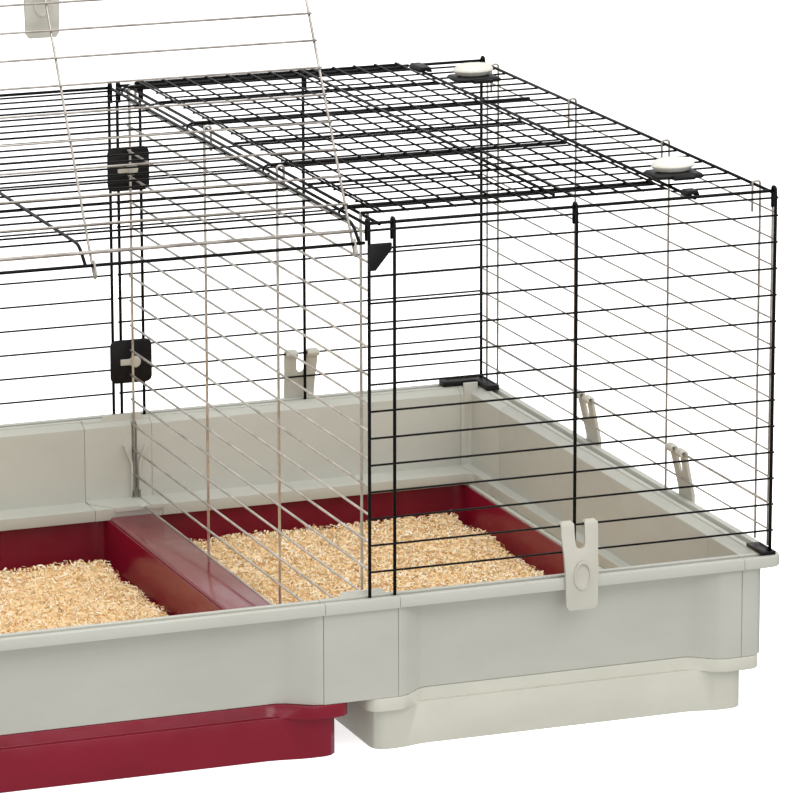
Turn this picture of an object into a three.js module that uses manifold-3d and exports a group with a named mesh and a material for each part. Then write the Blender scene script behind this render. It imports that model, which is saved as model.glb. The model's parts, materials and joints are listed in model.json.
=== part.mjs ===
// Rabbit hutch: two plastic trays under a modular plastic base frame, with a wire cage on top.
// Millimetres, +Z up, +X towards the small extension, front at -Y. The floor is z = 0.
import * as THREE from "three";
import { mergeVertices } from "three/addons/utils/BufferGeometryUtils.js";
import Module from "manifold-3d";

const wasm = await Module();
wasm.setup();

// ---- driving dimensions --------------------------------------------------------------------
const WIRE_X = 685.4;              // wire plane of both end panels
const WIRE_Y = 350;                // wire plane of the front and back panels
const RIM_OUT = 10;                // rim's outer face, outside the wire planes
const GAP = 0.3;                   // clearance between pieces that rest on each other
const FRAME_Z0 = 50.3;             // base frame's underside, on the tray flanges
const LEDGE_Z = 62;                // top of the ledge inside the base frame
const RIM_Z0 = 133;                // underside of the rim
const RIM_Z1 = 143;                // top of the rim
const SLOPE_Z = 138;               // foot of the slope between the inner wall face and the lip
const GROOVE_Z = 136.5;            // bottom of the groove that the wires stand in
const FOOT_Z = GROOVE_Z + GAP;     // lower end of the wires in the groove
const FLANGE_Z = 38;               // underside of the tray flanges
const TRAY_TOP = 50;
const TRAY_FLOOR = 3;
const WALL_BULGE = 5;              // outer wall face at the corners and at the junction
const WALL_RECESS = -14;           // outer wall face along the long stretches
const INNER_FACE = -17.5;          // inner wall face
const INNER_LIP = -8.5;            // inner edge of the rim top
const TAB_Z = 147;                 // top of the junction's tab
const JUNCTION_X = [255, 325];     // seams beside the junction pieces
const CORNER_X = 657;              // seams beside the corner pieces
const CORNER_Y = 255;
const RISE_MAIN = [206, 246];      // where the long sides step out or in
const STEPS = [[-640, -608], [216, 256], [328, 357], [608, 640]];
const THICK = 1.6;                 // wire radii
const THIN = 1.15;
const BAR = 2.0;
const ROOF_Z = 476;
const TOP_ROW_Z = 471.8;
const RAIL_Y = 348;                // roof rails above the front and back panels
const RAIL_A = 300;                // lid hinge rail
const RAIL_B = 311;                // the partition hangs over this rail
const RAIL_RIGHT = 684;            // the side panel hangs over this rail
const LATCH_RAIL = 609;            // roof wire beside the lid's free edge
const PARTITION_X = 307.7;
const SIDE_X = 688;
const MAIN_RIGHT = 291;            // right end of the main cage's wires
const MAIN_FRONT_Z = 461;          // main cage's front rail, the front door's pivot
const DOOR_LEAN = THREE.MathUtils.degToRad(30.2);
const DOOR_OFFSET = 3.3;           // door wires stand this far off the rail's axis
const DOOR_ROW = 10;               // door row that its clips hang on
const POSTS_EXT = [RAIL_A, 323.5, 494.4, WIRE_X];
const POSTS_MAIN = [MAIN_RIGHT, 46, -199, -444, -WIRE_X];
const ROOF_MAIN = [MAIN_RIGHT, 44, -202, -448, -WIRE_X];
const DOOR_POSTS = [286.5, 51, -185.5, -422, -658.5];
const SIDE_POSTS = [-313, -112, 111, 311];
const DIVIDER_POSTS = [-310, -94, 109, 336];
const BARS_Y = [-316, -287, -183, -89, 18, 125, 237, 323];
const HINGE_BARS = [-287, -89, 125, 323];
const LATCHES = { front: [613.5, -288.5], rear: [622, 213.5] };

const rows = (first, pitch, count) => Array.from({ length: count }, (_, k) => first + pitch * k);
const ROW_Z = rows(165.8, 24.15, 13);
const SIDE_ROW_Z = rows(164.8, 24.4, 13);
const DOOR_ROWS = rows(37, 25.2, 12);

// ---- materials -----------------------------------------------------------------------------
const material = (color, roughness, metalness = 0) =>
  new THREE.MeshStandardMaterial({ color, roughness, metalness });
const WALL = material("#bdbcb2", 0.45);
const MAROON = material("#7d1e30", 0.25);
const GREY_TRAY = material("#b9b8ab", 0.5);
const BEDDING = material("#e9c48c", 0.9);
const BLACK_WIRE = material("#0d0c0c", 0.35, 0.3);
const GREY_WIRE = material("#9a958e", 0.35, 0.8);
const CLIP = material("#cfcdc4", 0.5);
const BLACK_PLASTIC = material("#151515", 0.4);

// ---- solid helpers -------------------------------------------------------------------------
function solid(geometry) {
  const bare = geometry.clone();
  bare.deleteAttribute("normal");
  bare.deleteAttribute("uv");
  const merged = mergeVertices(bare, 1e-4);
  return new wasm.Manifold(new wasm.Mesh({
    numProp: 3,
    vertProperties: new Float32Array(merged.attributes.position.array),
    triVerts: new Uint32Array(merged.index.array),
  }));
}

function box(x0, x1, y0, y1, z0, z1) {
  const geometry = new THREE.BoxGeometry(x1 - x0, y1 - y0, z1 - z0);
  return solid(geometry.translate((x0 + x1) / 2, (y0 + y1) / 2, (z0 + z1) / 2));
}

const join = (parts) => parts.reduce((sum, part) => sum.add(part));

function prism(points, z0, z1, chamfer = 0, bevelHeight = chamfer) {
  const shape = new THREE.Shape(points.map(([x, y]) => new THREE.Vector2(x, y)));
  const geometry = new THREE.ExtrudeGeometry(shape, {
    depth: z1 - z0 - 2 * bevelHeight,
    bevelEnabled: chamfer > 0,
    bevelThickness: bevelHeight,
    bevelSize: chamfer,
    bevelOffset: -chamfer,
    bevelSegments: 1,
  });
  return solid(geometry.translate(0, 0, z0 + bevelHeight));
}

// A profile of [along, up] points becomes a bar centred on `origin`, its width across `right`.
function profileBar(profile, width, right, forward, origin) {
  const shape = new THREE.Shape(profile.map(([x, y]) => new THREE.Vector2(x, y)));
  const geometry = new THREE.ExtrudeGeometry(shape, { depth: width, bevelEnabled: false });
  geometry.translate(0, 0, -width / 2);
  const up = new THREE.Vector3().crossVectors(right, forward);
  geometry.applyMatrix4(new THREE.Matrix4().makeBasis(forward, up, right));
  return solid(geometry.translate(...origin));
}

function roundedRectangle(halfX, halfY, radius, centreX = 0, centreY = 0, steps = 3) {
  const points = [];
  for (const [sx, sy, start] of [[1, 1, 0], [-1, 1, 90], [-1, -1, 180], [1, -1, 270]]) {
    for (let i = 0; i <= steps; i++) {
      const turn = THREE.MathUtils.degToRad(start + 90 * i / steps);
      points.push([
        centreX + sx * (halfX - radius) + radius * Math.cos(turn),
        centreY + sy * (halfY - radius) + radius * Math.sin(turn),
      ]);
    }
  }
  return points;
}

const between = (x0, x1, halfY, radius) =>
  roundedRectangle((x1 - x0) / 2, halfY, radius, (x0 + x1) / 2);

// One wire: a four-sided bar along each stretch of the path, one ridge facing `normal`.
function wire(points, radius, normal) {
  const ridge = new THREE.Vector3(...normal);
  const bars = [];
  for (let i = 0; i + 1 < points.length; i++) {
    const a = new THREE.Vector3(...points[i]);
    const b = new THREE.Vector3(...points[i + 1]);
    const along = b.clone().sub(a).normalize();
    if (i > 0) a.addScaledVector(along, -radius * 0.8);
    if (i + 2 < points.length) b.addScaledVector(along, radius * 0.8);
    const side = new THREE.Vector3().crossVectors(along, ridge).normalize();
    const up = new THREE.Vector3().crossVectors(side, along);
    const geometry = new THREE.CylinderGeometry(radius, radius, a.distanceTo(b), 4);
    geometry.applyMatrix4(new THREE.Matrix4().makeBasis(side, along, up));
    bars.push(solid(geometry.translate(...a.add(b).multiplyScalar(0.5).toArray())));
  }
  return join(bars);
}

// Distance between the centre lines of two wires welded where they cross.
const weld = (r1, r2) => r1 + r2 - 0.45;

const OUT_Y = [0, 1, 0];
const OUT_X = [1, 0, 0];
const OUT_Z = [0, 0, 1];

// ---- trays ---------------------------------------------------------------------------------
// Outline whose long sides follow the base's steps; the first and last stretches bulge out.
function wavyOutline(bulge, recess, xLeft, xRight, radius, steps, firstIsBulge = true) {
  const long = [];
  steps.forEach(([from, to], k) => {
    const rising = firstIsBulge ? k % 2 === 1 : k % 2 === 0;
    for (let i = 0; i <= 4; i++) {
      const t = i / 4;
      const blend = t * t * (3 - 2 * t);
      long.push([from + (to - from) * t, recess + (bulge - recess) * (rising ? blend : 1 - blend)]);
    }
  });
  const points = [];
  const corner = (x, y, start) => {
    for (let i = 0; i <= 3; i++) {
      const turn = THREE.MathUtils.degToRad(start + 30 * i);
      points.push([x + radius * Math.cos(turn), y + radius * Math.sin(turn)]);
    }
  };
  const y = WIRE_Y + bulge - radius;
  corner(xLeft + radius, -y, 180);
  long.forEach(([x, n]) => points.push([x, -WIRE_Y - n]));
  corner(xRight - radius, -y, 270);
  corner(xRight - radius, y, 0);
  long.reverse().forEach(([x, n]) => points.push([x, WIRE_Y + n]));
  corner(xLeft + radius, y, 90);
  return points;
}

function tray(left, right, steps) {
  const flange = prism(wavyOutline(6, -13, left - 20, right + 8, 12, steps), FLANGE_Z, TRAY_TOP);
  const body = prism(wavyOutline(-3, -8, left, right, 14, steps), 0, FLANGE_Z + 1);
  const hollow = prism(between(left + 4, right - 4, 316, 14), TRAY_FLOOR, TRAY_TOP + 1);
  return flange.add(body).subtract(hollow);
}

function extensionTray() {
  const steps = STEPS.slice(2);
  const flange = prism(wavyOutline(6, -13, 297, 677, 12, steps), FLANGE_Z, TRAY_TOP);
  const body = prism(wavyOutline(-3, -8, 305, 663, 12, steps), 0, FLANGE_Z + 1);
  return flange.add(body).subtract(prism(between(309, 653, 316, 14), TRAY_FLOOR, TRAY_TOP + 1));
}

function extensionLiner() {
  const outer = prism(between(309.4, 652.6, 315.6, 13.6), TRAY_FLOOR + GAP, 48);
  return outer.subtract(prism(between(311.4, 650.6, 313.6, 11.6), TRAY_FLOOR + GAP + 2, 49));
}

function trayBridge() {
  const profile = [[-24, 0], [22.5, 0], [20.5, 3], [-22, 3]];
  const beam = profileBar(
    profile, 599, TOWARDS_FRONT, ALONG_X, [293.5, 0, TRAY_TOP + GAP]);
  return beam.add(box(282, 294, -299.5, 299.5, 42, TRAY_TOP + GAP + 0.5));
}

const bedding = (x0, x1, y0, y1, z0, z1) =>
  prism(roundedRectangle((x1 - x0) / 2, (y1 - y0) / 2, 24, (x0 + x1) / 2, (y0 + y1) / 2), z0, z1, 8);

// ---- base frame ----------------------------------------------------------------------------
const inset = (n, radius) => roundedRectangle(WIRE_X + n, WIRE_Y + n, radius);

function baseRing() {
  const rim = prism(inset(RIM_OUT, 12), RIM_Z0, RIM_Z1);
  const wall = prism(wavyOutline(WALL_BULGE, WALL_RECESS, -680, 680, 14, STEPS), FRAME_Z0, RIM_Z0 + 1);
  const slope = INNER_LIP - INNER_FACE;
  const mouth = prism(inset(INNER_LIP, 9.5), SLOPE_Z - 1, RIM_Z1 + 8, slope, 4.5);
  const room = prism(inset(INNER_FACE, 4), LEDGE_Z, SLOPE_Z);
  const floorHole = prism(roundedRectangle(CORNER_X, 300, 8), FRAME_Z0 - 1, LEDGE_Z + 1);
  const groove = prism(inset(3.5, 3), GROOVE_Z, RIM_Z1 + 1)
    .subtract(prism(inset(-3.5, 2), GROOVE_Z - 1, RIM_Z1 + 2));
  return rim.add(wall).subtract(mouth).subtract(room).subtract(floorHole).subtract(groove);
}

const RING = baseRing();
const FAR = 800;
const half = GAP / 2;
const TOWARDS_FRONT = new THREE.Vector3(0, -1, 0);
const ALONG_X = new THREE.Vector3(1, 0, 0);

const ringPiece = (x0, x1, y0, y1) => RING.intersect(box(x0 + half, x1 - half, y0 + half, y1 - half, 0, 200));

// The junction has a flat face that ends in a raised tab, two flared ribs that guide the
// divider's edge, and a foot shelf with a cut corner.
function junction(side) {
  const face = WIRE_Y - 11;
  const rib = face - 11;
  const across = (y0, y1) => (side > 0 ? [y0, y1] : [-y1, -y0]);
  const [x0, x1] = JUNCTION_X;
  const ring = side > 0 ? ringPiece(x0, x1, 0, FAR) : ringPiece(x0, x1, -FAR, 0);
  const plate = box(x0 + half, x1 - half, ...across(face, WIRE_Y - 7), LEDGE_Z - 1, RIM_Z1 - 0.5);
  const tab = profileBar(
    [[275, 120], [319, 120], [319, 143], [315, TAB_Z], [279, TAB_Z], [275, 143]], 3,
    TOWARDS_FRONT, ALONG_X, [0, side * (face + 1.5), 0]);
  const ribAt = (points) => profileBar(points, 11.5, TOWARDS_FRONT, ALONG_X, [0, side * (rib + 5.75), 0]);
  const left = ribAt([[303.9, 61], [303.9, 99], [296.6, 118], [294.4, 117], [301.6, 98.2], [301.6, 61]]);
  const right = ribAt([[309.9, 61], [312.2, 61], [312.2, 98.2], [319.2, 116], [317, 117], [309.9, 99]]);
  const inner = WIRE_Y - 52;
  const shelfPoints = [[x0 + half, 345], [x1 - half, 345], [x1 - half, inner], [275, inner], [x0 + half, 322]];
  const shelf = prism(
    shelfPoints.map(([x, y]) => [x, side * y]), LEDGE_Z - 4, LEDGE_Z + 1.2);
  const partitionSlot = box(302, 311.8, ...across(inner - 5, face - 1), LEDGE_Z, LEDGE_Z + 9);
  const channel = box(303.9, 309.9, ...across(rib - 1, face - 1), LEDGE_Z, RIM_Z1 + 1);
  return join([ring, plate, tab, left, right, shelf]).subtract(partitionSlot).subtract(channel);
}

// A back corner has a short tab inside its connector.
function backCorner(side) {
  const ring = side > 0 ? ringPiece(CORNER_X, FAR, CORNER_Y, FAR) : ringPiece(-FAR, -CORNER_X, CORNER_Y, FAR);
  const xs = side > 0 ? [660, 675] : [-675, -660];
  return ring.add(box(...xs, WIRE_Y - 18.5, WIRE_Y - 15.5, 128, RIM_Z1 + 5));
}

// L-shaped black joiner that lies on the rim at a corner and holds the corner post.
function rimConnector(sx, sy) {
  const isBack = sy > 0;
  const [armX, armY, height] = isBack ? [44, 40, 5.6] : [9, 30, 3.4];
  const xs = (a, b) => (sx > 0 ? [WIRE_X + a, WIRE_X + b] : [-WIRE_X - b, -WIRE_X - a]);
  const ys = (a, b) => (sy > 0 ? [WIRE_Y + a, WIRE_Y + b] : [-WIRE_Y - b, -WIRE_Y - a]);
  const z0 = RIM_Z1 + GAP;
  const along = box(...xs(-armX, 4.5), ...ys(-9, 4.5), z0, RIM_Z1 + height);
  const back = box(...xs(-9, 4.5), ...ys(-armY, 4.5), z0, RIM_Z1 + height);
  const ridge = box(...xs(-armX + 6, -3), ...ys(1, 3), z0, RIM_Z1 + height + 1)
    .add(box(...xs(1, 3), ...ys(-armY + 6, -3), z0, RIM_Z1 + height + 1));
  const postHole = box(...xs(-2.4, 2.4), ...ys(-2.4, 2.4), RIM_Z1, RIM_Z1 + 8);
  return along.add(back).add(ridge).subtract(postHole);
}

// ---- wire panels ---------------------------------------------------------------------------
// Upright wires stand in the plane y = +-WIRE_Y and the rows are welded to their outer side.
function longPanel(posts, side, rowZ) {
  const y = side * WIRE_Y;
  const rowY = y + side * weld(THICK, THIN);
  const x0 = Math.min(...posts) - 1;
  const x1 = Math.max(...posts) + 1;
  const uprights = posts.map((x) => wire([[x, y, FOOT_Z], [x, y, ROOF_Z - 2]], THICK, OUT_Y));
  const across = [...rowZ, TOP_ROW_Z].map((z) => wire([[x0, rowY, z], [x1, rowY, z]], THIN, OUT_Y));
  const foot = wire([[x0, y, FOOT_Z + 2.4], [x1, y, FOOT_Z + 2.4]], THICK, OUT_Z);
  return join([...uprights, ...across, foot]);
}

function mainLeftPanel() {
  const x = -WIRE_X;
  const rowX = x + weld(THICK, THIN);
  const uprights = [-112, 111, 298].map((y) => wire([[x, y, FOOT_Z], [x, y, TOP_ROW_Z]], THICK, OUT_X));
  const front = wire([[x, -WIRE_Y, FOOT_Z], [x, -WIRE_Y, MAIN_FRONT_Z - 2.4]], THICK, OUT_X);
  const across = ROW_Z.map((z) => wire([[rowX, -WIRE_Y - 1, z], [rowX, 344, z]], THIN, OUT_X));
  const topZ = TOP_ROW_Z - 1.2;
  const top = wire([[rowX, -330, topZ], [rowX, 344, topZ]], THIN, OUT_X);
  const foot = wire([[x, -WIRE_Y, FOOT_Z + 2.4], [x, 344, FOOT_Z + 2.4]], THICK, OUT_Z);
  return join([...uprights, front, ...across, top, foot]);
}

function mainRoofPanel() {
  const under = ROOF_Z - weld(THICK, THIN);
  const depth = ROOF_MAIN.map((x) => wire(
    [[x, -WIRE_Y, MAIN_FRONT_Z], [x, -330, ROOF_Z], [x, RAIL_Y, ROOF_Z]], THICK, [0, -0.6, 0.8]));
  const front = wire([[-WIRE_X - 1, -WIRE_Y, MAIN_FRONT_Z], [296, -WIRE_Y, MAIN_FRONT_Z]], THICK, OUT_Z);
  const back = wire([[-WIRE_X - 1, RAIL_Y, ROOF_Z], [MAIN_RIGHT + 1, RAIL_Y, ROOF_Z]], THICK, OUT_Z);
  const across = rows(-290, 57.5, 11).map((y) => wire(
    [[-WIRE_X - 1, y, under], [MAIN_RIGHT + 1, y, under]], THIN, OUT_Z));
  return join([...depth, front, back, ...across]);
}

// Roof ends over the extension's front and back panels, between two x positions.
const roofEnds = (x0, x1) => [-RAIL_Y, RAIL_Y].map((y) => wire(
  [[x0, y, ROOF_Z + 1.2], [x1, y, ROOF_Z + 1.2]], THICK, OUT_Z));

const roofRail = (x) => wire([[x, -RAIL_Y - 1, ROOF_Z], [x, RAIL_Y + 1, ROOF_Z]], THICK, OUT_Z);

function extensionHingeRails() {
  return join([roofRail(RAIL_A), roofRail(RAIL_B), ...roofEnds(RAIL_A - 1, LATCH_RAIL - 2.2)]);
}

function extensionLatchGrille() {
  const under = ROOF_Z - weld(THICK, THIN);
  const strips = rows(46.7 - WIRE_Y, 28.1, 23).map((y) => wire(
    [[LATCH_RAIL - 3, y, under], [RAIL_RIGHT + 0.5, y, under]], THIN, OUT_Z));
  const rails = [roofRail(LATCH_RAIL), roofRail(RAIL_RIGHT)];
  return join([...rails, ...roofEnds(LATCH_RAIL - 1, RAIL_RIGHT + 1), ...strips]);
}

// The lid's thick bars cross under its depth wires; four of them curl round the hinge rail.
function extensionLid() {
  const barZ = ROOF_Z + 4;
  const topZ = barZ + weld(BAR, THIN);
  const depth = rows(321.8, 22.3, 13).map((x) => wire([[x, -330, topZ], [x, 344, topZ]], THIN, OUT_Z));
  const backEdge = wire([[316, 342, barZ], [594, 342, barZ]], BAR, OUT_Z);
  const bars = BARS_Y.map((y) => {
    const right = y === 125 ? 645 : 594;
    const curled = HINGE_BARS.includes(y);
    const plain = [[curled ? 304 : 306, y, barZ], [right, y, barZ]];
    return wire(plain, BAR, OUT_Z);
  });
  const loops = HINGE_BARS.map((y) => wire([
    [306, y, barZ], [299.4, y, barZ], [296.1, y, 477.8], [296.1, y, 474],
    [298.6, y, 471.9], [302, y, 471.9]], THIN, OUT_Y));
  return join([...depth, backEdge, ...bars, ...loops]);
}

function sidePanel() {
  const rowX = SIDE_X - weld(THIN, THIN);
  const innerX = RAIL_RIGHT - 3.25;
  const uprights = SIDE_POSTS.map((y) => {
    const foot = Math.abs(y) > 300 ? RIM_Z1 + 5.6 : RIM_Z1 + 0.8;
    return wire([
      [SIDE_X, y, foot], [SIDE_X, y, 478], [SIDE_X - 2, y, 479.6], [innerX + 1.6, y, 479.6],
      [innerX, y, 478], [innerX, y, 452]], THIN, OUT_Y);
  });
  const across = SIDE_ROW_Z.map((z) => wire([[rowX, -346, z], [rowX, 346, z]], THIN, OUT_X));
  return join([...uprights, ...across]);
}

function partitionPanel() {
  const rowX = PARTITION_X - weld(THIN, THIN);
  const tailX = RAIL_B + 3.25;
  const uprights = DIVIDER_POSTS.map((y) => {
    const foot = Math.abs(y) > 300 ? LEDGE_Z + 0.8 : TRAY_TOP + 4;
    return wire([
      [PARTITION_X, y, foot], [PARTITION_X, y, 478], [PARTITION_X + 1.6, y, 479.6],
      [tailX - 1.6, y, 479.6], [tailX, y, 478], [tailX, y, 456]], THIN, OUT_Y);
  });
  const across = rows(61.3, 25.2, 17).map((z, k) => {
    const [front, back] = k === 0 ? [-297, 297] : [-329, 337.5];
    return wire([[rowX, front, z], [rowX, back, z]], THIN, OUT_X);
  });
  return join([...uprights, ...across]);
}

// ---- front door, raised and leaning back over the main cage ----------------------------------
const DOOR_ALONG = [0, Math.sin(DOOR_LEAN), Math.cos(DOOR_LEAN)];
const DOOR_FACE = [0, Math.cos(DOOR_LEAN), -Math.sin(DOOR_LEAN)];

function onDoor(x, s, p) {
  return [
    x,
    -WIRE_Y + s * DOOR_ALONG[1] + p * DOOR_FACE[1],
    MAIN_FRONT_Z + s * DOOR_ALONG[2] + p * DOOR_FACE[2],
  ];
}

function frontDoor() {
  const rowP = DOOR_OFFSET - weld(THIN, THIN);
  const uprights = DOOR_POSTS.map((x) => wire([
    onDoor(x, 317, DOOR_OFFSET), onDoor(x, -11, DOOR_OFFSET),
    onDoor(x, -11, -DOOR_OFFSET), onDoor(x, 3, -DOOR_OFFSET)], THIN, OUT_X));
  const across = DOOR_ROWS.map((s) => wire(
    [onDoor(-660, s, rowP), onDoor(288, s, rowP)], THIN, DOOR_FACE));
  const rod = wire([onDoor(-660, 12, rowP), onDoor(288, 12, rowP)], THICK, DOOR_FACE);
  return join([...uprights, ...across, rod]);
}

// ---- clips ---------------------------------------------------------------------------------
// Hooks over a wire, runs down and out, and clamps the outside of the rim. `reach` is the distance
// from the wire to the rim's face; `right` and `outward` are unit vectors.
function clip(origin, right, outward, reach) {
  const inner = 1.75;
  const outer = 4.4;
  const arc = (radius, from, to) => Array.from({ length: 6 }, (_, i) => {
    const turn = THREE.MathUtils.degToRad(from + (to - from) * i / 5);
    return [radius * Math.cos(turn), radius * Math.sin(turn)];
  });
  const profile = [
    [reach + 3, -76], [reach + 3, -41], [outer, -5], ...arc(outer, 0, 225),
    ...arc(inner, 225, 0), [inner, -6], [reach, -42], [reach, -76],
  ];
  const plate = profileBar(profile, 40, right, outward, origin);
  const up = new THREE.Vector3(0, 0, 1);
  const halfOutline = [
    [0, -21], [2.6, -20.2], [4.4, -17.5], [4.8, -12], [5.2, 2], [7.5, 4.6], [15, 4.6], [17.6, 2],
    [17.6, -8], [16.2, -26], [15.8, -44], [15, -72], [12, -76]];
  const outline = [...halfOutline, ...halfOutline.slice(1).reverse().map(([u, z]) => [-u, z])];
  const cutter = new THREE.ExtrudeGeometry(
    new THREE.Shape(outline.map(([u, z]) => new THREE.Vector2(u, z))), { depth: 60, bevelEnabled: false });
  cutter.applyMatrix4(new THREE.Matrix4().makeBasis(
    new THREE.Vector3().crossVectors(up, outward), up, outward));
  const back = outward.clone().multiplyScalar(-20).add(new THREE.Vector3(...origin));
  const seat = outward.clone().multiplyScalar(reach + 3.3).add(new THREE.Vector3(...origin));
  const oval = (radius, height) => {
    const disc = new THREE.CylinderGeometry(radius, radius, height, 12);
    disc.scale(1, 1, 1.6);
    disc.applyMatrix4(new THREE.Matrix4().makeBasis(
      new THREE.Vector3().crossVectors(outward, up), outward, up));
    return solid(disc.translate(seat.x, seat.y, seat.z - 44.4));
  };
  const ring = oval(8.5, 1.8).subtract(oval(6.9, 4));
  return plate.intersect(solid(cutter.translate(...back.toArray()))).add(ring);
}

const TOWARDS = {
  front: [new THREE.Vector3(-1, 0, 0), new THREE.Vector3(0, -1, 0)],
  back: [new THREE.Vector3(1, 0, 0), new THREE.Vector3(0, 1, 0)],
  right: [new THREE.Vector3(0, -1, 0), new THREE.Vector3(1, 0, 0)],
  left: [new THREE.Vector3(0, 1, 0), new THREE.Vector3(-1, 0, 0)],
};

function baseClip(face, along) {
  const rowY = WIRE_Y + weld(THICK, THIN);
  const faceY = WIRE_Y + RIM_OUT + 0.4;
  const sideRow = SIDE_X - weld(THIN, THIN);
  const leftRow = WIRE_X - weld(THICK, THIN);
  const faceX = WIRE_X + RIM_OUT + 0.4;
  const seats = {
    front: [[along, -rowY, ROW_Z[1]], faceY - rowY],
    back: [[along, rowY, ROW_Z[1]], faceY - rowY],
    right: [[sideRow, along, SIDE_ROW_Z[1]], faceX - sideRow],
    left: [[-leftRow, along, ROW_Z[1]], faceX - leftRow],
  };
  return clip(seats[face][0], ...TOWARDS[face], seats[face][1]);
}

function doorClip(x) {
  const row = onDoor(x, DOOR_ROWS[DOOR_ROW], DOOR_OFFSET - weld(THIN, THIN));
  return clip(row, ...TOWARDS.front, 9.8);
}

// ---- small black fittings --------------------------------------------------------------------
function gusset() {
  const profile = [[298, 461], [298, 437], [304, 437], [319, 455], [319, 461]];
  return profileBar(profile, 3.4, TOWARDS_FRONT, ALONG_X, [0, -355.8, 0]);
}

function connectorPlate(z) {
  const points = roundedRectangle(21.5, 22, 6);
  return profileBar(points, 3.4, TOWARDS_FRONT, ALONG_X, [309, 346.2, z]);
}

function keyToggle(z) {
  const body = [...Array.from({ length: 10 }, (_, i) => {
    const turn = THREE.MathUtils.degToRad(-150 + 300 * i / 9);
    return [6 * Math.cos(turn), 6 * Math.sin(turn)];
  }), [-15, 3], [-15, -3]];
  return profileBar(body, 3, TOWARDS_FRONT, ALONG_X, [312, 342.7, z]);
}

// Saddle over the latch rail that the lid's free edge rests beside.
function railSaddle(y0, y1) {
  const profile = [[-7, 0.8], [-2.2, 0.8], [-2.2, 2.2], [2.2, 2.2], [2.2, 0.8], [7, 0.8], [5, 6], [-5, 6]];
  return profileBar(profile, y1 - y0, TOWARDS_FRONT, ALONG_X,
    [LATCH_RAIL, (y0 + y1) / 2, ROOF_Z]);
}

function latchBase([x, y]) {
  const z = ROOF_Z + 8.4;
  const plate = prism([[x - 22, y - 14], [x + 22, y - 19], [x + 22, y + 19], [x - 22, y + 14]], z, z + 5, 1.8);
  const lugs = [-1, 1].map((s) => box(x - 8, x + 12, y + s * 19 - 4, y + s * 19 + 4, z + 0.5, z + 3.5));
  return join([plate, ...lugs]);
}

function latchButton([x, y]) {
  const almond = Array.from({ length: 16 }, (_, i) => {
    const turn = 2 * Math.PI * i / 16;
    return [x + 21 * Math.cos(turn), y + 14.5 * Math.sin(turn) * Math.abs(Math.sin(turn)) ** 0.25];
  });
  return prism(almond, ROOF_Z + 13.7, ROOF_Z + 24.5, 4.5);
}

// ---- assembly --------------------------------------------------------------------------------
const hutch = new THREE.Group();
hutch.name = "rabbit_hutch";

function add(name, shape, look) {
  const data = shape.getMesh();
  const geometry = new THREE.BufferGeometry();
  geometry.setAttribute("position", new THREE.BufferAttribute(new Float32Array(data.vertProperties), 3));
  geometry.setIndex(new THREE.BufferAttribute(new Uint32Array(data.triVerts), 1));
  geometry.computeVertexNormals();
  const mesh = new THREE.Mesh(geometry, look);
  mesh.name = name;
  hutch.add(mesh);
}

add("main_tray", tray(-657, 272, [STEPS[0], RISE_MAIN]), MAROON);
add("extension_tray", extensionTray(), GREY_TRAY);
add("extension_liner", extensionLiner(), MAROON);
add("tray_bridge", trayBridge(), MAROON);
add("bedding_main", bedding(-640, 261, -308, 272, TRAY_FLOOR + GAP, 27), BEDDING);
add("bedding_extension", bedding(322, 643, -304, 304, TRAY_FLOOR + 2 * GAP + 2, 29), BEDDING);

const [SEAM_LEFT, SEAM_RIGHT] = JUNCTION_X;
add("main_wall_front", ringPiece(-CORNER_X, SEAM_LEFT, -FAR, 0), WALL);
add("main_wall_back", ringPiece(-CORNER_X, SEAM_LEFT, 0, FAR), WALL);
add("main_wall_left", ringPiece(-FAR, -600, -CORNER_Y, CORNER_Y), WALL);
add("corner_front_left", ringPiece(-FAR, -CORNER_X, -FAR, -CORNER_Y), WALL);
add("corner_back_left", backCorner(-1), WALL);
add("junction_front", junction(-1), WALL);
add("junction_back", junction(1), WALL);
add("extension_wall_front", ringPiece(SEAM_RIGHT, CORNER_X, -FAR, 0), WALL);
add("extension_wall_back", ringPiece(SEAM_RIGHT, CORNER_X, 0, FAR), WALL);
add("extension_wall_right", ringPiece(600, FAR, -CORNER_Y, CORNER_Y), WALL);
add("corner_front_right", ringPiece(CORNER_X, FAR, -FAR, -CORNER_Y), WALL);
add("corner_back_right", backCorner(1), WALL);

add("rim_connector_front_left", rimConnector(-1, -1), BLACK_PLASTIC);
add("rim_connector_back_left", rimConnector(-1, 1), BLACK_PLASTIC);
add("rim_connector_front_right", rimConnector(1, -1), BLACK_PLASTIC);
add("rim_connector_back_right", rimConnector(1, 1), BLACK_PLASTIC);

add("main_back_panel", longPanel(POSTS_MAIN, 1, ROW_Z), BLACK_WIRE);
add("main_left_panel", mainLeftPanel(), BLACK_WIRE);
add("main_roof_panel", mainRoofPanel(), BLACK_WIRE);
add("extension_front_panel", longPanel(POSTS_EXT, -1, ROW_Z), BLACK_WIRE);
add("extension_back_panel", longPanel(POSTS_EXT, 1, ROW_Z), BLACK_WIRE);
add("extension_hinge_rails", extensionHingeRails(), BLACK_WIRE);
add("extension_latch_grille", extensionLatchGrille(), BLACK_WIRE);
add("extension_lid", extensionLid(), BLACK_WIRE);
add("side_panel", sidePanel(), GREY_WIRE);
add("partition_panel", partitionPanel(), GREY_WIRE);
add("front_door", frontDoor(), GREY_WIRE);

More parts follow.
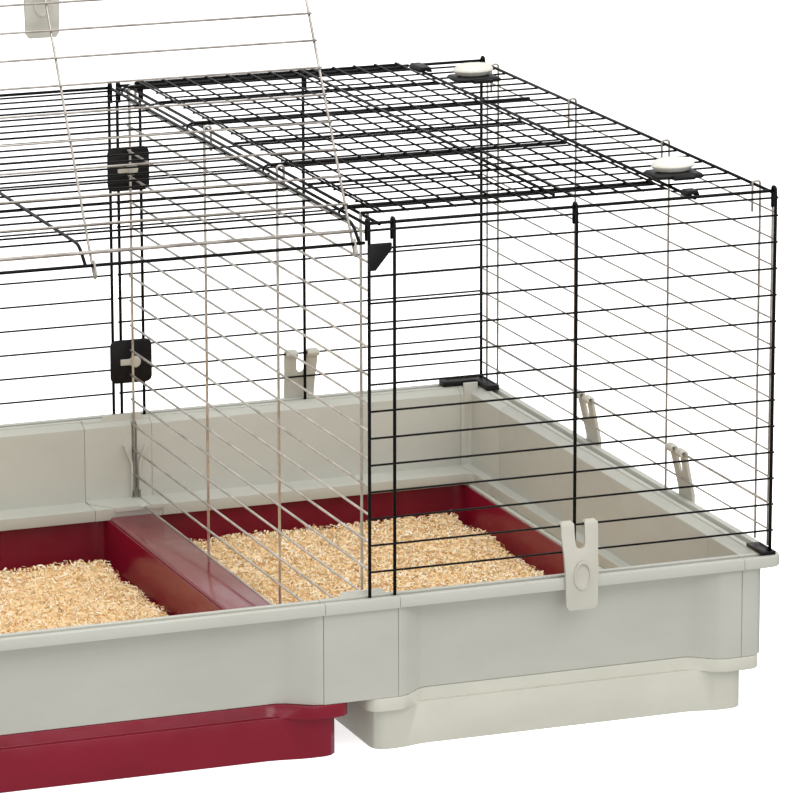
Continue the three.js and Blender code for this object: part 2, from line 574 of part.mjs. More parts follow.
add("front_gusset", gusset(), BLACK_PLASTIC);
for (const [name, z] of [["upper", 394], ["lower", 199]]) {
  add(`connector_plate_${name}`, connectorPlate(z), BLACK_PLASTIC);
  add(`key_toggle_${name}`, keyToggle(z), CLIP);
}
add("lid_saddle_front", railSaddle(-343, -331), BLACK_PLASTIC);
add("lid_saddle_rear", railSaddle(307, 337), BLACK_PLASTIC);
for (const [name, place] of Object.entries(LATCHES)) {
  add(`latch_base_${name}`, latchBase(place), BLACK_PLASTIC);
  add(`latch_button_${name}`, latchButton(place), CLIP);
}

add("clip_extension_front", baseClip("front", 496.8), CLIP);
add("clip_extension_back", baseClip("back", 492), CLIP);
add("clip_main_back_right", baseClip("back", 48), CLIP);
add("clip_main_back_left", baseClip("back", -442), CLIP);
add("clip_side_front", baseClip("right", -141), CLIP);
add("clip_side_rear", baseClip("right", 82), CLIP);
add("clip_left_front", baseClip("left", -141), CLIP);
add("clip_left_rear", baseClip("left", 82), CLIP);
add("clip_door_right", doorClip(51), CLIP);
add("clip_door_left", doorClip(-422), CLIP);

export default hutch;
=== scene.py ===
import json
import math

import bmesh
import bpy
import numpy as np
from mathutils import Matrix, Vector, noise

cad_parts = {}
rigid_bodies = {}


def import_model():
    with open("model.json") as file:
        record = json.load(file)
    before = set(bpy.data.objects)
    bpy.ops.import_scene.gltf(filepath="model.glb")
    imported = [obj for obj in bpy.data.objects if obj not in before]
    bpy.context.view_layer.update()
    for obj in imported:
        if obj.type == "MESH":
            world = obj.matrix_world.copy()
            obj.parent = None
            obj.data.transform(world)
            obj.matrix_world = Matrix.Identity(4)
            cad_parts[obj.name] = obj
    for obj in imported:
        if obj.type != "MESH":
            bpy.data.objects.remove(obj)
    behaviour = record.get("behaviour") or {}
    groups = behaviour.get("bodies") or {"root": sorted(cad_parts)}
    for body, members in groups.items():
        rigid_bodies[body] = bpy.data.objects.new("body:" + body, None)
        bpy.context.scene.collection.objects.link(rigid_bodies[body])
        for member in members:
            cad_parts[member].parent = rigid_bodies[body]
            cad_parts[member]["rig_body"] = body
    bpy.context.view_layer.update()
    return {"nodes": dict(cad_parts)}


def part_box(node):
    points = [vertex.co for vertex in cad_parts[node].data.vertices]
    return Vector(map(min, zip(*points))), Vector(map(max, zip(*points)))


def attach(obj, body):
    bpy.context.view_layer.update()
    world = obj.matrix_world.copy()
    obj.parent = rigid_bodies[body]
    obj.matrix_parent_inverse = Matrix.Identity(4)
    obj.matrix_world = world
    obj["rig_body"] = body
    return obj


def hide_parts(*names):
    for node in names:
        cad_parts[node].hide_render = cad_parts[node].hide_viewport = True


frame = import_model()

rng = np.random.default_rng(7)
MM = 0.001

# ---- places, from the frame ------------------------------------------------------------------
THICK, THIN, BAR = 1.5 * MM, 0.95 * MM, 1.75 * MM    # wire radii
FRONT_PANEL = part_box("extension_front_panel")
SIDE_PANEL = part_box("side_panel")
HINGE_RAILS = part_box("extension_hinge_rails")
WIRE_Y = -FRONT_PANEL[1].y + 1.6 * MM
WIRE_X = FRONT_PANEL[1].x - 1 * MM
FOOT_Z = FRONT_PANEL[0].z
ROOF_Z = FRONT_PANEL[1].z + 2 * MM
RIM_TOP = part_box("main_wall_front")[1].z
RAIL_Y = HINGE_RAILS[1].y - 2 * MM
SIDE_X = SIDE_PANEL[1].x - 1.15 * MM
MAIN_LEFT = -WIRE_X
MAIN_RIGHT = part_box("main_back_panel")[1].x - 1 * MM
MAIN_FRONT_Z = ROOF_Z - 15 * MM
ROW_PITCH = 24.15 * MM
ROW_FIRST = RIM_TOP + 22.8 * MM
TOP_ROW = ROOF_Z - 4.2 * MM
WELD = 0.3 * MM                         # how far crossing wires sink into each other
PASS = THICK + THIN - WELD              # centre distance of a thick and a thin wire where they weld

# ---- places inside the panels, which their boxes don't give --------------------------------------
PANEL_ROWS = 13
FOOT_WIRE = 2.4 * MM                    # height of the foot wire over a panel's foot
MAIN_POSTS = [MAIN_RIGHT, 46 * MM, -199 * MM, -444 * MM, MAIN_LEFT]
EXTENSION_POSTS = [300 * MM, 323.5 * MM, 494.4 * MM, WIRE_X]
LEFT_POSTS_Y = (-112, 111, 298)
LEFT_END_Y = 344 * MM
ROOF_POSTS = (MAIN_RIGHT, 44 * MM, -202 * MM, -448 * MM, MAIN_LEFT)
ROOF_BEND_Y = -332 * MM                 # where the roof panel turns down to its front rail
HINGE_RAILS_X = (300 * MM, 311 * MM)
LATCH_RAILS_X = (609 * MM, 684 * MM)
BARS_Y = (-316, -287, -183, -89, 18, 125, 237, 323)
HINGES_Y = (-287, -89, 125, 323)        # the lid's bars that end in a curl round the rail
LONG_BAR_Y = 125                        # the bar that reaches over the latch rail
LID_ENDS = (-330 * MM, 341 * MM)
LID_ROWS_X = (317 * MM, 591 * MM)
LID_FRAME_END = 594 * MM
CURL_X = 296.2 * MM                     # far side of the hinge curls
SIDE_POSTS_Y = (-313, -112, 111, 311)
DIVIDER_X = 307.7 * MM
DIVIDER_TAIL_X = 314.25 * MM
DIVIDER_POSTS_Y = (-310, -94, 109, 336)
DIVIDER_FIRST_ROW = (-297, 297)         # the lowest row stays inside the junctions
DIVIDER_ROW = (-329, 337.5)
DOOR_POSTS_X = (286.5, 51, -185.5, -422, -658.5)
DOOR_ENDS = (-660, 288)
DOOR_ROWS = [37 + 25.2 * k for k in range(12)]
LEAN = math.radians(30.2)               # the raised door leans back by this


# ---- small helpers -----------------------------------------------------------------------------
def srgb(code):
    channels = [int(code[i:i + 2], 16) / 255 for i in (1, 3, 5)]
    linear = [c / 12.92 if c <= 0.04045 else ((c + 0.055) / 1.055) ** 2.4 for c in channels]
    return (*linear, 1.0)


def rows(first, pitch, count):
    return [first + pitch * k for k in range(count)]


def link(mesh, name):
    piece = bpy.data.objects.new(name, mesh)
    bpy.context.scene.collection.objects.link(piece)
    return piece


def settle(piece, material, slot, body, *nodes):
    """Gives a finished piece its material, and lets it ride in place of its nodes."""
    piece.data.materials.clear()
    piece.data.materials.append(material)
    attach(piece, body)
    if nodes:
        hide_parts(*nodes)


def smooth(piece, angle=35):
    piece.data.shade_smooth()
    piece.data.set_sharp_from_angle(angle=math.radians(angle))


# ---- materials ---------------------------------------------------------------------------------
class Nodes:
    """A short way to write one Principled material."""

    def __init__(self, name, **constants):
        self.material = bpy.data.materials.new(name)
        self.material.use_nodes = True
        self.tree = self.material.node_tree
        self.shader = self.tree.nodes["Principled BSDF"]
        for socket, value in constants.items():
            self.shader.inputs[socket.replace("_", " ")].default_value = value
        self.place = self.add("ShaderNodeTexCoord").outputs["Object"]

    def add(self, kind, **inputs):
        node = self.tree.nodes.new(kind)
        for name, value in inputs.items():
            self.set(node, name.replace("_", " "), value)
        return node

    def set(self, node, name, value):
        if isinstance(value, bpy.types.NodeSocket):
            self.tree.links.new(value, node.inputs[name])
        else:
            node.inputs[name].default_value = value

    def noise(self, scale, detail=3.0, roughness=0.5, stretch=None):
        place = self.place
        if stretch:
            mapping = self.add("ShaderNodeMapping", Vector=place, Scale=stretch)
            place = mapping.outputs["Vector"]
        made = self.add(
            "ShaderNodeTexNoise", Vector=place, Scale=scale, Detail=detail, Roughness=roughness)
        return made.outputs["Fac"]

    def ramp(self, factor, stops):
        node = self.add("ShaderNodeValToRGB", Fac=factor)
        elements = node.color_ramp.elements
        while len(elements) < len(stops):
            elements.new(0.5)
        for element, (at, colour) in zip(elements, stops):
            element.position = at
            element.color = colour
        return node.outputs["Color"]

    def spread(self, factor, low, high):
        """Stretches the middle of a noise, where nearly all of it lies, over a range."""
        node = self.add("ShaderNodeMapRange", Value=factor)
        node.inputs["From Min"].default_value = 0.3
        node.inputs["From Max"].default_value = 0.7
        node.inputs["To Min"].default_value = low
        node.inputs["To Max"].default_value = high
        return node.outputs["Result"]

    def drive(self, socket, value):
        self.tree.links.new(value, self.shader.inputs[socket])

    def bump(self, height, strength, distance):
        node = self.add("ShaderNodeBump", Height=height, Strength=strength, Distance=distance)
        self.drive("Normal", node.outputs["Normal"])


def moulded(name, light, dark, roughness, grain, strength, specular=0.5, coat=0.0):
    """Moulded plastic: faint flow marks in its colour, a fine grain and an uneven gloss."""
    made = Nodes(name, Specular_IOR_Level=specular, Coat_Weight=coat, Coat_Roughness=0.12)
    flow = made.noise(9, 4, 0.6, (1, 1, 2.2))
    made.drive("Base Color", made.ramp(flow, [(0.3, srgb(dark)), (0.7, srgb(light))]))
    made.drive("Roughness", made.spread(made.noise(60, 5), roughness - 0.05, roughness + 0.07))
    made.bump(made.noise(grain, 2, 0.6), strength, 0.0002)
    return made.material


def powder_coat():
    made = Nodes("black_powder_coat", Base_Color=srgb("#080707"), Specular_IOR_Level=0.12)
    made.drive("Roughness", made.spread(made.noise(300, 3), 0.26, 0.42))
    made.bump(made.noise(1600, 2), 0.25, 0.0001)
    return made.material


def galvanised(name, light, dark):
    made = Nodes(name, Metallic=0.75)
    streaks = made.noise(40, 4, 0.65)
    made.drive("Base Color", made.ramp(streaks, [(0.32, srgb(dark)), (0.68, srgb(light))]))
    made.drive("Roughness", made.spread(made.noise(220, 3), 0.28, 0.46))
    made.bump(made.noise(900, 2), 0.2, 0.0001)
    return made.material


def shavings():
    """Pale wood: each flake carries its own tone, with long grain lines across it."""
    made = Nodes("wood_shavings", Roughness=0.85, Specular_IOR_Level=0.2, Subsurface_Weight=0.15)
    made.shader.inputs["Subsurface Radius"].default_value = (0.004, 0.002, 0.001)
    tone = made.add("ShaderNodeAttribute")
    tone.attribute_name = "tone"
    colour = made.ramp(tone.outputs["Fac"], [
        (0.0, srgb("#d6a768")),
        (0.25, srgb("#f0cc96")),
        (0.6, srgb("#fce4b9")),
        (1.0, srgb("#fff6e2")),
    ])
    lines = made.noise(700, 3, 0.6, (1, 1, 6))
    grain = made.ramp(lines, [(0.35, (0.82, 0.78, 0.72, 1)), (0.6, (1, 1, 1, 1))])
    mix = made.add("ShaderNodeMix")
    mix.data_type = "RGBA"
    mix.blend_type = "MULTIPLY"
    mix.inputs["Factor"].default_value = 1.0
    made.tree.links.new(colour, mix.inputs[6])
    made.tree.links.new(grain, mix.inputs[7])
    made.drive("Base Color", mix.outputs[2])
    made.bump(made.noise(900, 2), 0.3, 0.0002)
    return made.material


WALL = moulded("grey_wall_plastic", "#babab0", "#b3b3a9", 0.46, 1500, 0.08, 0.3)
GREY_TRAY = moulded("grey_tray_plastic", "#c6c5b8", "#bbbaad", 0.50, 800, 0.30, 0.3)
MAROON = moulded("burgundy_plastic", "#80142a", "#741022", 0.20, 1200, 0.04, 0.3)
POLISHED = moulded("burgundy_polished", "#84192a", "#781523", 0.18, 1200, 0.03, 0.9, 0.2)
BLACK = moulded("black_plastic", "#121111", "#0a0909", 0.40, 1200, 0.25, 0.2)
CLIP = moulded("warm_grey_plastic", "#bfbcb0", "#b4b1a5", 0.42, 1300, 0.10, 0.3)
BUTTON = moulded("off_white_plastic", "#dcdad0", "#d3d0c5", 0.36, 1300, 0.06, 0.4)
POWDER = powder_coat()
ZINC = galvanised("galvanised_wire", "#bdb7af", "#8a837b")
BRIGHT = galvanised("bright_galvanised_wire", "#d9d5cd", "#a8a29a")
SHAVINGS = shavings()


# ---- wires ---------------------------------------------------------------------------------------
class Wires:
    """Collects round wires, bent along their paths, into one mesh."""

    SIDES = 10

    def __init__(self):
        self.vertices = []
        self.faces = []

    def bent(self, points, bend):
        points = [Vector(p) for p in points]
        path = [points[0]]
        for before, corner, after in zip(points, points[1:], points[2:]):
            back, on = before - corner, after - corner
            cut = min(bend, back.length * 0.48, on.length * 0.48)
            start, end = corner + back.normalized() * cut, corner + on.normalized() * cut
            for k in range(6):
                t = k / 5
                path.append(start * (1 - t) ** 2 + corner * 2 * t * (1 - t) + end * t * t)
        path.append(points[-1])
        return path

    def add(self, points, radius, bend=4 * MM):
        path = self.bent(points, bend)
        tangent = (path[1] - path[0]).normalized()
        side = tangent.orthogonal().normalized()
        rings = []
        count = len(path)
        for i, centre in enumerate(path):
            ahead = path[min(i + 1, count - 1)] - path[max(i - 1, 0)]
            turned = ahead.normalized()
            side = (side - turned * side.dot(turned)).normalized()
            up = turned.cross(side)
            rings.append((centre, side.copy(), up, radius))
        first, last = rings[0], rings[-1]
        lead = (path[1] - path[0]).normalized() * radius * 0.45
        tail = (path[-1] - path[-2]).normalized() * radius * 0.45
        rings.insert(0, (first[0] - lead, first[1], first[2], radius * 0.62))
        rings.append((last[0] + tail, last[1], last[2], radius * 0.62))
        base = len(self.vertices)
        n = self.SIDES
        for centre, across, up, size in rings:
            for k in range(n):
                turn = 2 * math.pi * k / n
                self.vertices.append(centre + (across * math.cos(turn) + up * math.sin(turn)) * size)
        for i in range(len(rings) - 1):
            for k in range(n):
                a, b = base + i * n + k, base + i * n + (k + 1) % n
                self.faces.append((a, b, b + n, a + n))
        self.faces.append(tuple(base + k for k in reversed(range(n))))
        top = base + (len(rings) - 1) * n
        self.faces.append(tuple(top + k for k in range(n)))

    def build(self, name):
        mesh = bpy.data.meshes.new(name)
        mesh.from_pydata(self.vertices, [], self.faces)
        piece = link(mesh, name)
        smooth(piece, 50)
        return piece


def long_panel(name, posts, side, node):
    """Front or back panel: posts hooked over the roof rail, rows welded on their outer side."""
    wires = Wires()
    y = side * WIRE_Y
    row_y = y + side * PASS
    inner = side * (RAIL_Y - 3.4 * MM)
    top = ROOF_Z + 4.6 * MM
    for x in posts:
        wires.add([
            (x, y, FOOT_Z), (x, y + side * 1 * MM, ROOF_Z - 4 * MM), (x, y, top),
            (x, inner, top), (x, inner, ROOF_Z - 14 * MM),
        ], THICK, 3 * MM)
    x0, x1 = min(posts) - THICK, max(posts) + THICK
    for z in rows(ROW_FIRST, ROW_PITCH, PANEL_ROWS) + [TOP_ROW]:
        wires.add([(x0, row_y, z), (x1, row_y, z)], THIN)
    foot = FOOT_Z + FOOT_WIRE
    wires.add([(x0, y, foot), (x1, y, foot)], THICK)
    settle(wires.build(name), POWDER, "black_wire", "hutch", node)


def main_left_panel():
    wires = Wires()
    for y in LEFT_POSTS_Y:
        wires.add([(MAIN_LEFT, y * MM, FOOT_Z), (MAIN_LEFT, y * MM, TOP_ROW)], THICK)
    wires.add([(MAIN_LEFT, -WIRE_Y, FOOT_Z), (MAIN_LEFT, -WIRE_Y, MAIN_FRONT_Z - 3 * MM)], THICK)
    x = MAIN_LEFT + PASS
    for z in rows(ROW_FIRST, ROW_PITCH, PANEL_ROWS):
        wires.add([(x, -WIRE_Y, z), (x, LEFT_END_Y, z)], THIN)
    wires.add([(x, -330 * MM, TOP_ROW), (x, LEFT_END_Y, TOP_ROW)], THIN)
    foot = FOOT_Z + FOOT_WIRE
    wires.add([(MAIN_LEFT, -WIRE_Y, foot), (MAIN_LEFT, LEFT_END_Y, foot)], THICK)
    settle(wires.build("main_left_wires"), POWDER, "black_wire", "hutch", "main_left_panel")


def main_roof_panel():
    """Roof wires that turn down at the front to the rail the door hangs on."""
    wires = Wires()
    for x in ROOF_POSTS:
        wires.add([
            (x, -WIRE_Y, MAIN_FRONT_Z), (x, ROOF_BEND_Y, ROOF_Z), (x, RAIL_Y, ROOF_Z),
        ], THICK, 10 * MM)
    wires.add([(MAIN_LEFT, -WIRE_Y, MAIN_FRONT_Z), (296 * MM, -WIRE_Y, MAIN_FRONT_Z)], THICK)
    wires.add([(MAIN_LEFT, RAIL_Y, ROOF_Z), (MAIN_RIGHT, RAIL_Y, ROOF_Z)], THICK)
    z = ROOF_Z - PASS
    for y in rows(-308 * MM, 28.4 * MM, 23):
        wires.add([(MAIN_LEFT, y, z), (MAIN_RIGHT + THICK, y, z)], THIN)
    settle(wires.build("main_roof_wires"), POWDER, "black_wire", "hutch", "main_roof_panel")


def roof_ends(wires, x0, x1):
    for y in (-RAIL_Y, RAIL_Y):
        wires.add([(x0, y, ROOF_Z + 1.2 * MM), (x1, y, ROOF_Z + 1.2 * MM)], THICK)


def roof_rails(wires, places):
    for x in places:
        wires.add([(x, -RAIL_Y, ROOF_Z), (x, RAIL_Y, ROOF_Z)], THICK)


def hinge_rails():
    wires = Wires()
    roof_rails(wires, HINGE_RAILS_X)
    roof_ends(wires, 299 * MM, 606 * MM)
    piece = wires.build("extension_hinge_wires")
    settle(piece, POWDER, "black_wire", "hutch", "extension_hinge_rails")


def latch_grille():
    wires = Wires()
    roof_rails(wires, LATCH_RAILS_X)
    roof_ends(wires, 608 * MM, 685 * MM)
    z = ROOF_Z - PASS
    for y in rows(-WIRE_Y + 46.7 * MM, 28.1 * MM, 23):
        wires.add([(606 * MM, y, z), (685.5 * MM, y, z)], THIN)
    piece = wires.build("extension_grille_wires")
    settle(piece, POWDER, "black_wire", "hutch", "extension_latch_grille")


def lid_curl(wires, y, bar_z):
    """The end of a hinge bar, curled down round the hinge rail."""
    wires.add([
        (307 * MM, y, bar_z), (299.4 * MM, y, bar_z), (CURL_X, y, ROOF_Z + 2 * MM),
        (CURL_X, y, ROOF_Z - 2 * MM), (298.6 * MM, y, ROOF_Z - 4 * MM), (302 * MM, y, ROOF_Z - 4 * MM),
    ], THIN * 1.1, 2.5 * MM)


def lid():
    """Bars from hinge to latch, wires from front to back over them, thin rows between the bars."""
    wires = Wires()
    front, back = LID_ENDS
    bar_z = ROOF_Z + 4 * MM
    depth_z = bar_z + BAR + THIN - WELD
    thin_z = depth_z - 2 * THIN + WELD
    for x in rows(321.8 * MM, 22.3 * MM, 13):
        turned_down = (x, 344 * MM, bar_z - 3 * MM)
        wires.add([(x, front, depth_z), (x, back, depth_z), turned_down], THIN, 2 * MM)
    wires.add([(316 * MM, 342 * MM, bar_z), (LID_FRAME_END, 342 * MM, bar_z)], BAR * 0.8)
    for y in BARS_Y:
        hinged = y in HINGES_Y
        start = 304 * MM if hinged else 306 * MM
        end = 645 * MM if y == LONG_BAR_Y else LID_FRAME_END
        wires.add([(start, y * MM, bar_z), (end, y * MM, bar_z)], BAR if hinged else THICK * 0.85)
    for y in HINGES_Y:
        lid_curl(wires, y * MM, bar_z)
    clearance = 7 * MM
    for y in rows(-300 * MM, 27.6 * MM, 23):
        if min(abs(y - bar * MM) for bar in BARS_Y) > clearance:
            wires.add([(LID_ROWS_X[0], y, thin_z), (LID_ROWS_X[1], y, thin_z)], THIN * 0.9)
    wires.add([(317.6 * MM, front, depth_z), (317.6 * MM, back, depth_z)], THIN)
    wires.add([(487 * MM, -316 * MM, depth_z), (487 * MM, 342 * MM, depth_z)], THICK)
    settle(wires.build("extension_lid_wires"), POWDER, "black_wire", "extension_lid", "extension_lid")


def side_panel():
    """The galvanised end panel, hooked over the right roof rail."""
    wires = Wires()
    row_x = SIDE_X - 2 * THIN + WELD
    inner = LATCH_RAILS_X[1] - 3.3 * MM
    top = ROOF_Z + 3.6 * MM
    for y in SIDE_POSTS_Y:
        foot = RIM_TOP + (5.6 if abs(y) > 300 else 0.8) * MM
        wires.add([
            (SIDE_X, y * MM, foot), (SIDE_X, y * MM, top),
            (inner, y * MM, top), (inner, y * MM, ROOF_Z - 24 * MM),
        ], THIN * 1.1, 3.2 * MM)
    for y in (-340, 340):
        wires.add([(SIDE_X, y * MM, RIM_TOP + 5.6 * MM), (SIDE_X, y * MM, 460 * MM)], THIN * 1.1)
    for k, z in enumerate(rows(164.8 * MM, 24.4 * MM, PANEL_ROWS)):
        wires.add([(row_x, -346 * MM, z), (row_x, 346 * MM, z)], THIN * (1.25 if k == 1 else 0.9))
    settle(wires.build("side_panel_wires"), ZINC, "grey_wire", "side_panel", "side_panel")


def partition():
    """The divider: its body hangs on the main side of the second rail, its hooks over it."""
    wires = Wires()
    row_x = DIVIDER_X - 2 * THIN + WELD
    top = ROOF_Z + 3.6 * MM
    for y in DIVIDER_POSTS_Y:
        foot = (62.8 if abs(y) > 300 else 54) * MM
        wires.add([
            (DIVIDER_X, y * MM, foot), (DIVIDER_X, y * MM, top),
            (DIVIDER_TAIL_X, y * MM, top), (DIVIDER_TAIL_X, y * MM, ROOF_Z - 20 * MM),
        ], THIN * 1.35, 3.2 * MM)
    for k, z in enumerate(rows(61.3 * MM, 25.2 * MM, 17)):
        front, back = DIVIDER_FIRST_ROW if k == 0 else DIVIDER_ROW
        wires.add([(row_x, front * MM, z), (row_x, back * MM, z)], THIN * 1.2)
    settle(wires.build("partition_wires"), BRIGHT, "grey_wire", "partition_panel", "partition_panel")


def on_door(x, s, p):
    """A point on the raised door: s along it from its pivot, p off its plane."""
    return Vector((
        x * MM,
        -WIRE_Y + (s * math.sin(LEAN) + p * math.cos(LEAN)) * MM,
        MAIN_FRONT_Z + (s * math.cos(LEAN) - p * math.sin(LEAN)) * MM,
    ))


def front_door():
    """The raised door: posts that loop round the front rail, rows, and a thicker rod by the pivot."""
    wires = Wires()
    for x in DOOR_POSTS_X:
        wires.add([
            on_door(x, 317, 3.3), on_door(x, -11, 3.3),
            on_door(x, -11, -3.3), on_door(x, 3, -3.3),
        ], THIN * 1.15, 3 * MM)
    left, right = DOOR_ENDS
    for s in DOOR_ROWS:
        wires.add([on_door(left, s, 1.4), on_door(right, s, 1.4)], THIN)
    wires.add([on_door(left, 12, 1.0), on_door(right, 12, 1.0)], THICK * 1.1)
    settle(wires.build("front_door_wires"), ZINC, "grey_wire", "front_door", "front_door")


# ---- moulded pieces --------------------------------------------------------------------------------
def moulded_piece(node, material, slot, body="hutch", edge=0.8, segments=3, angle=30):
    """A node's shape with every hard edge rounded, as it leaves the mould."""
    mesh = frame["nodes"][node].data.copy()
    piece = link(mesh, node + "_moulded")
    work = bmesh.new()
    work.from_mesh(mesh)
    bmesh.ops.remove_doubles(work, verts=work.verts, dist=1e-6)
    bmesh.ops.dissolve_limit(
        work,
        angle_limit=math.radians(0.5),
        verts=work.verts,
        edges=work.edges,
        use_dissolve_boundaries=False,
    )
    work.to_mesh(mesh)
    work.free()
    rounded = piece.modifiers.new("rounded", "BEVEL")
    rounded.width = edge * MM
    rounded.segments = segments
    rounded.limit_method = "ANGLE"
    rounded.angle_limit = math.radians(angle)
    rounded.harden_normals = False
    apply_modifiers(piece)
    smooth(piece, 32)
    settle(piece, material, slot, body, node)


def apply_modifiers(piece):
    graph = bpy.context.evaluated_depsgraph_get()
    done = bpy.data.meshes.new_from_object(piece.evaluated_get(graph))
    piece.modifiers.clear()
    piece.data = done


# ---- bedding ---------------------------------------------------------------------------------------
HEAP_FALL = 20 * MM                     # how far in from its edge the heap reaches its full height
HEAP_STEP = 5 * MM
FLAKE_LENGTH = (3, 9)
FLAKE_WIDTH = (0.7, 1.9)
FLAKE_CURL = (0.4, 3.4)                 # radians from one end to the other
FLAKE_POINTS = 3                        # along each flake


def heap_height(x, y, low, high, floor, top):
    """Height of the loose heap at a point: mounded, uneven, and falling away at its edges."""
    edge = min(x - low.x, high.x - x, y - low.y, high.y - y)
    ragged = edge + 14 * MM * noise.noise(Vector((x * 28, y * 28, 3)))
    fall = max(0.0, min(1.0, ragged / HEAP_FALL))
    rise = fall * fall * (3 - 2 * fall)
    broad = noise.noise(Vector((x * 11, y * 11, 0)))
    fine = noise.noise(Vector((x * 40, y * 40, 5)))
    waves = 0.5 + 0.5 * broad + 0.35 * fine
    return floor + rise * (top - floor) * (0.68 + 0.30 * waves)


def heap(node, name):
    low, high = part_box(node)
    top = high.z - 3 * MM
    nx, ny = int((high.x - low.x) / HEAP_STEP), int((high.y - low.y) / HEAP_STEP)
    vertices = []
    for j in range(ny + 1):
        for i in range(nx + 1):
            x = low.x + (high.x - low.x) * i / nx
            y = low.y + (high.y - low.y) * j / ny
            vertices.append((x, y, heap_height(x, y, low, high, low.z + 0.2 * MM, top)))
    faces = []
    for j in range(ny):
        for i in range(nx):
            near = j * (nx + 1) + i
            far = near + nx + 1
            faces.append((near, near + 1, far + 1, far))
    mesh = bpy.data.meshes.new(name)
    mesh.from_pydata(vertices, [], faces)
    piece = link(mesh, name)
    piece.data.shade_smooth()
    tone = piece.data.attributes.new("tone", "FLOAT", "POINT")
    tone.data.foreach_set("value", np.full(len(vertices), 0.4, np.float32))
    settle(piece, SHAVINGS, "bedding", "hutch", node)


def flakes(node, name, count):
    """Curled shavings lying at every angle on the heap, each a thin bent strip with its own tone."""
    low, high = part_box(node)
    top = high.z - 3 * MM
    span = FLAKE_POINTS
    vertices = np.zeros((count, span * 2, 3), np.float32)
    tones = np.zeros((count, span * 2), np.float32)
    placed = 0
    while placed < count:
        x = rng.uniform(low.x, high.x)
        y = rng.uniform(low.y, high.y)
        z = heap_height(x, y, low, high, low.z, top)
        if z < low.z + 2 * MM and rng.random() > 0.05:
            continue
        length = rng.uniform(*FLAKE_LENGTH) * MM
        width = rng.uniform(*FLAKE_WIDTH) * MM
        curl = rng.uniform(*FLAKE_CURL)
        turns = np.linspace(-curl / 2, curl / 2, span)
        radius = length / curl
        along = radius * np.sin(turns)
        lift = radius * (np.cos(turns) - math.cos(curl / 2)) * rng.choice([-1, 1], p=[0.25, 0.75])
        twist = rng.uniform(-0.4, 0.4) * np.linspace(-1, 1, span)
        strip = np.zeros((span, 2, 3))
        for k, s in ((0, -1), (1, 1)):
            strip[:, k, 0] = along
            strip[:, k, 1] = s * width / 2 * np.cos(twist)
            strip[:, k, 2] = lift + s * width / 2 * np.sin(twist)
        tilt = Matrix.Rotation(rng.uniform(0, 2 * math.pi), 3, "Z") @ Matrix.Rotation(
            rng.normal(0, 0.55), 3, "X") @ Matrix.Rotation(rng.normal(0, 0.45), 3, "Y")
        points = strip.reshape(-1, 3) @ np.array(tilt).T
        base = np.array([x, y, z + rng.uniform(-0.5, 4.5) * MM])
        points = points + base
        points[:, 2] = np.clip(points[:, 2], low.z + 0.2 * MM, high.z + 6 * MM)
        vertices[placed] = points
        tones[placed] = np.clip(rng.normal(0.62, 0.24), 0, 1)
        placed += 1
    faces = []
    for f in range(count):
        base = f * span * 2
        for k in range(span - 1):
            a = base + 2 * k
            faces.append((a, a + 2, a + 3, a + 1))
    mesh = bpy.data.meshes.new(name)
    mesh.from_pydata(vertices.reshape(-1, 3).tolist(), [], faces)
    piece = link(mesh, name)
    piece.data.shade_smooth()
    tone = piece.data.attributes.new("tone", "FLOAT", "POINT")
    tone.data.foreach_set("value", tones.reshape(-1))
    settle(piece, SHAVINGS, "bedding", "hutch")


# ---- the hutch -------------------------------------------------------------------------------------
long_panel("extension_front_wires", EXTENSION_POSTS, -1, "extension_front_panel")
long_panel("extension_back_wires", EXTENSION_POSTS, 1, "extension_back_panel")
long_panel("main_back_wires", MAIN_POSTS, 1, "main_back_panel")
main_left_panel()
main_roof_panel()
hinge_rails()
latch_grille()
lid()
side_panel()
partition()
front_door()

WALLS = ("main_wall", "corner_", "junction_", "extension_wall")
BLACK_FITTINGS = ("rim_connector", "front_gusset", "connector_plate", "lid_saddle", "latch_base")
for name in sorted(frame["nodes"]):
    if name.startswith(WALLS):
        moulded_piece(name, WALL, "wall", edge=0.7)
moulded_piece("main_tray", MAROON, "maroon", edge=1.6)
moulded_piece("extension_tray", GREY_TRAY, "grey_tray", edge=1.6)
moulded_piece("extension_liner", MAROON, "maroon", edge=0.6)
moulded_piece("tray_bridge", POLISHED, "maroon", edge=0.9)
for name in sorted(frame["nodes"]):
    body = frame["nodes"][name]["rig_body"]
    if name.startswith(BLACK_FITTINGS):
        moulded_piece(name, BLACK, "black_plastic", body, edge=1.0)
    if name.startswith(("clip_", "key_toggle")):
        moulded_piece(name, CLIP, "clip", body, edge=0.6)
    if name.startswith("latch_button"):
        moulded_piece(name, BUTTON, "clip", body, edge=1.6, segments=4)

heap("bedding_main", "bedding_main_heap")
heap("bedding_extension", "bedding_extension_heap")
amount = 1.0
flakes("bedding_main", "bedding_main_flakes", int(56000 * amount))
flakes("bedding_extension", "bedding_extension_flakes", int(30000 * amount))


# ---- camera, floor and light -------------------------------------------------------------------------
LENS, SENSOR = 237.2, 36                # mm
EYE = (-1.267, -4.512, 1.427)
FLOOR_REACH = 9


def camera():
    data = bpy.data.cameras.new("camera")
    data.lens = LENS
    data.sensor_width = SENSOR
    data.clip_end = 40
    eye = bpy.data.objects.new("camera", data)
    azimuth, elevation, roll = math.radians(-20.977), math.radians(13.966), math.radians(-0.095)
    back = Vector((
        math.sin(azimuth) * math.cos(elevation),
        -math.cos(azimuth) * math.cos(elevation),
        math.sin(elevation),
    ))
    right = Vector((math.cos(azimuth), math.sin(azimuth), 0))
    up = back.cross(right)
    turn = Matrix((right, up, back)).transposed().to_4x4() @ Matrix.Rotation(roll, 4, "Z")
    eye.matrix_world = Matrix.Translation(EYE) @ turn
    bpy.context.scene.collection.objects.link(eye)
    bpy.context.scene.camera = eye


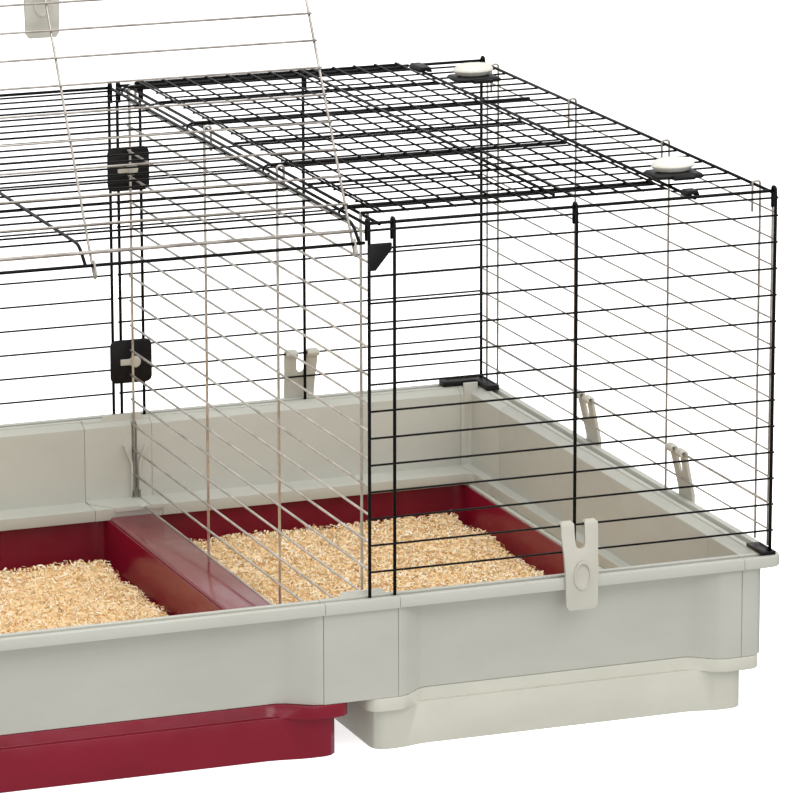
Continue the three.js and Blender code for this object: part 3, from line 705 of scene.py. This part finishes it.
def floor():
    mesh = bpy.data.meshes.new("floor")
    r = FLOOR_REACH
    mesh.from_pydata([(-r, -r, 0), (r, -r, 0), (r, r, 0), (-r, r, 0)], [], [(0, 1, 2, 3)])
    ground = link(mesh, "floor")
    pale = Nodes("pale_floor", Base_Color=(0.9, 0.9, 0.9, 1), Roughness=0.9, Specular_IOR_Level=0.0,
                 Emission_Color=(1, 1, 1, 1), Emission_Strength=0.7)
    pale.bump(pale.noise(6, 2), 0.02, 0.001)
    mesh.materials.append(pale.material)
    ground.visible_diffuse = False
    ground.visible_glossy = False


def area_light(name, place, target, size, power):
    data = bpy.data.lights.new(name, "AREA")
    data.shape = "RECTANGLE"
    data.size, data.size_y = size
    data.energy = power
    lamp = bpy.data.objects.new(name, data)
    lamp.location = place
    lamp.rotation_euler = (Vector(place) - Vector(target)).to_track_quat("Z", "Y").to_euler()
    bpy.context.scene.collection.objects.link(lamp)


def studio():
    """A bright ceiling that falls off below the horizon, as under a tent on a pale table."""
    world = bpy.data.worlds.new("studio")
    world.use_nodes = True
    tree = world.node_tree
    place = tree.nodes.new("ShaderNodeTexCoord")
    height = tree.nodes.new("ShaderNodeSeparateXYZ")
    tree.links.new(place.outputs["Generated"], height.inputs["Vector"])
    fall = tree.nodes.new("ShaderNodeMapRange")
    tree.links.new(height.outputs["Z"], fall.inputs["Value"])
    for socket, value in (("From Min", -0.15), ("From Max", 0.25), ("To Min", 0.60), ("To Max", 1.0)):
        fall.inputs[socket].default_value = value
    tree.links.new(fall.outputs["Result"], tree.nodes["Background"].inputs["Strength"])
    tree.nodes["Background"].inputs["Color"].default_value = (1, 1, 1, 1)
    bpy.context.scene.world = world
    area_light("key", (1.0, -3.2, 2.6), (0.2, 0, 0.2), (2.4, 1.6), 32)
    area_light("top", (0.4, -0.4, 3.0), (0.2, 0, 0.1), (2.4, 2.0), 40)
    area_light("front_fill", (-0.1, -3.6, 0.5), (0.1, 0, 0.08), (2.2, 0.7), 22)
    bpy.context.scene.view_settings.view_transform = "Standard"


camera()
floor()
studio()
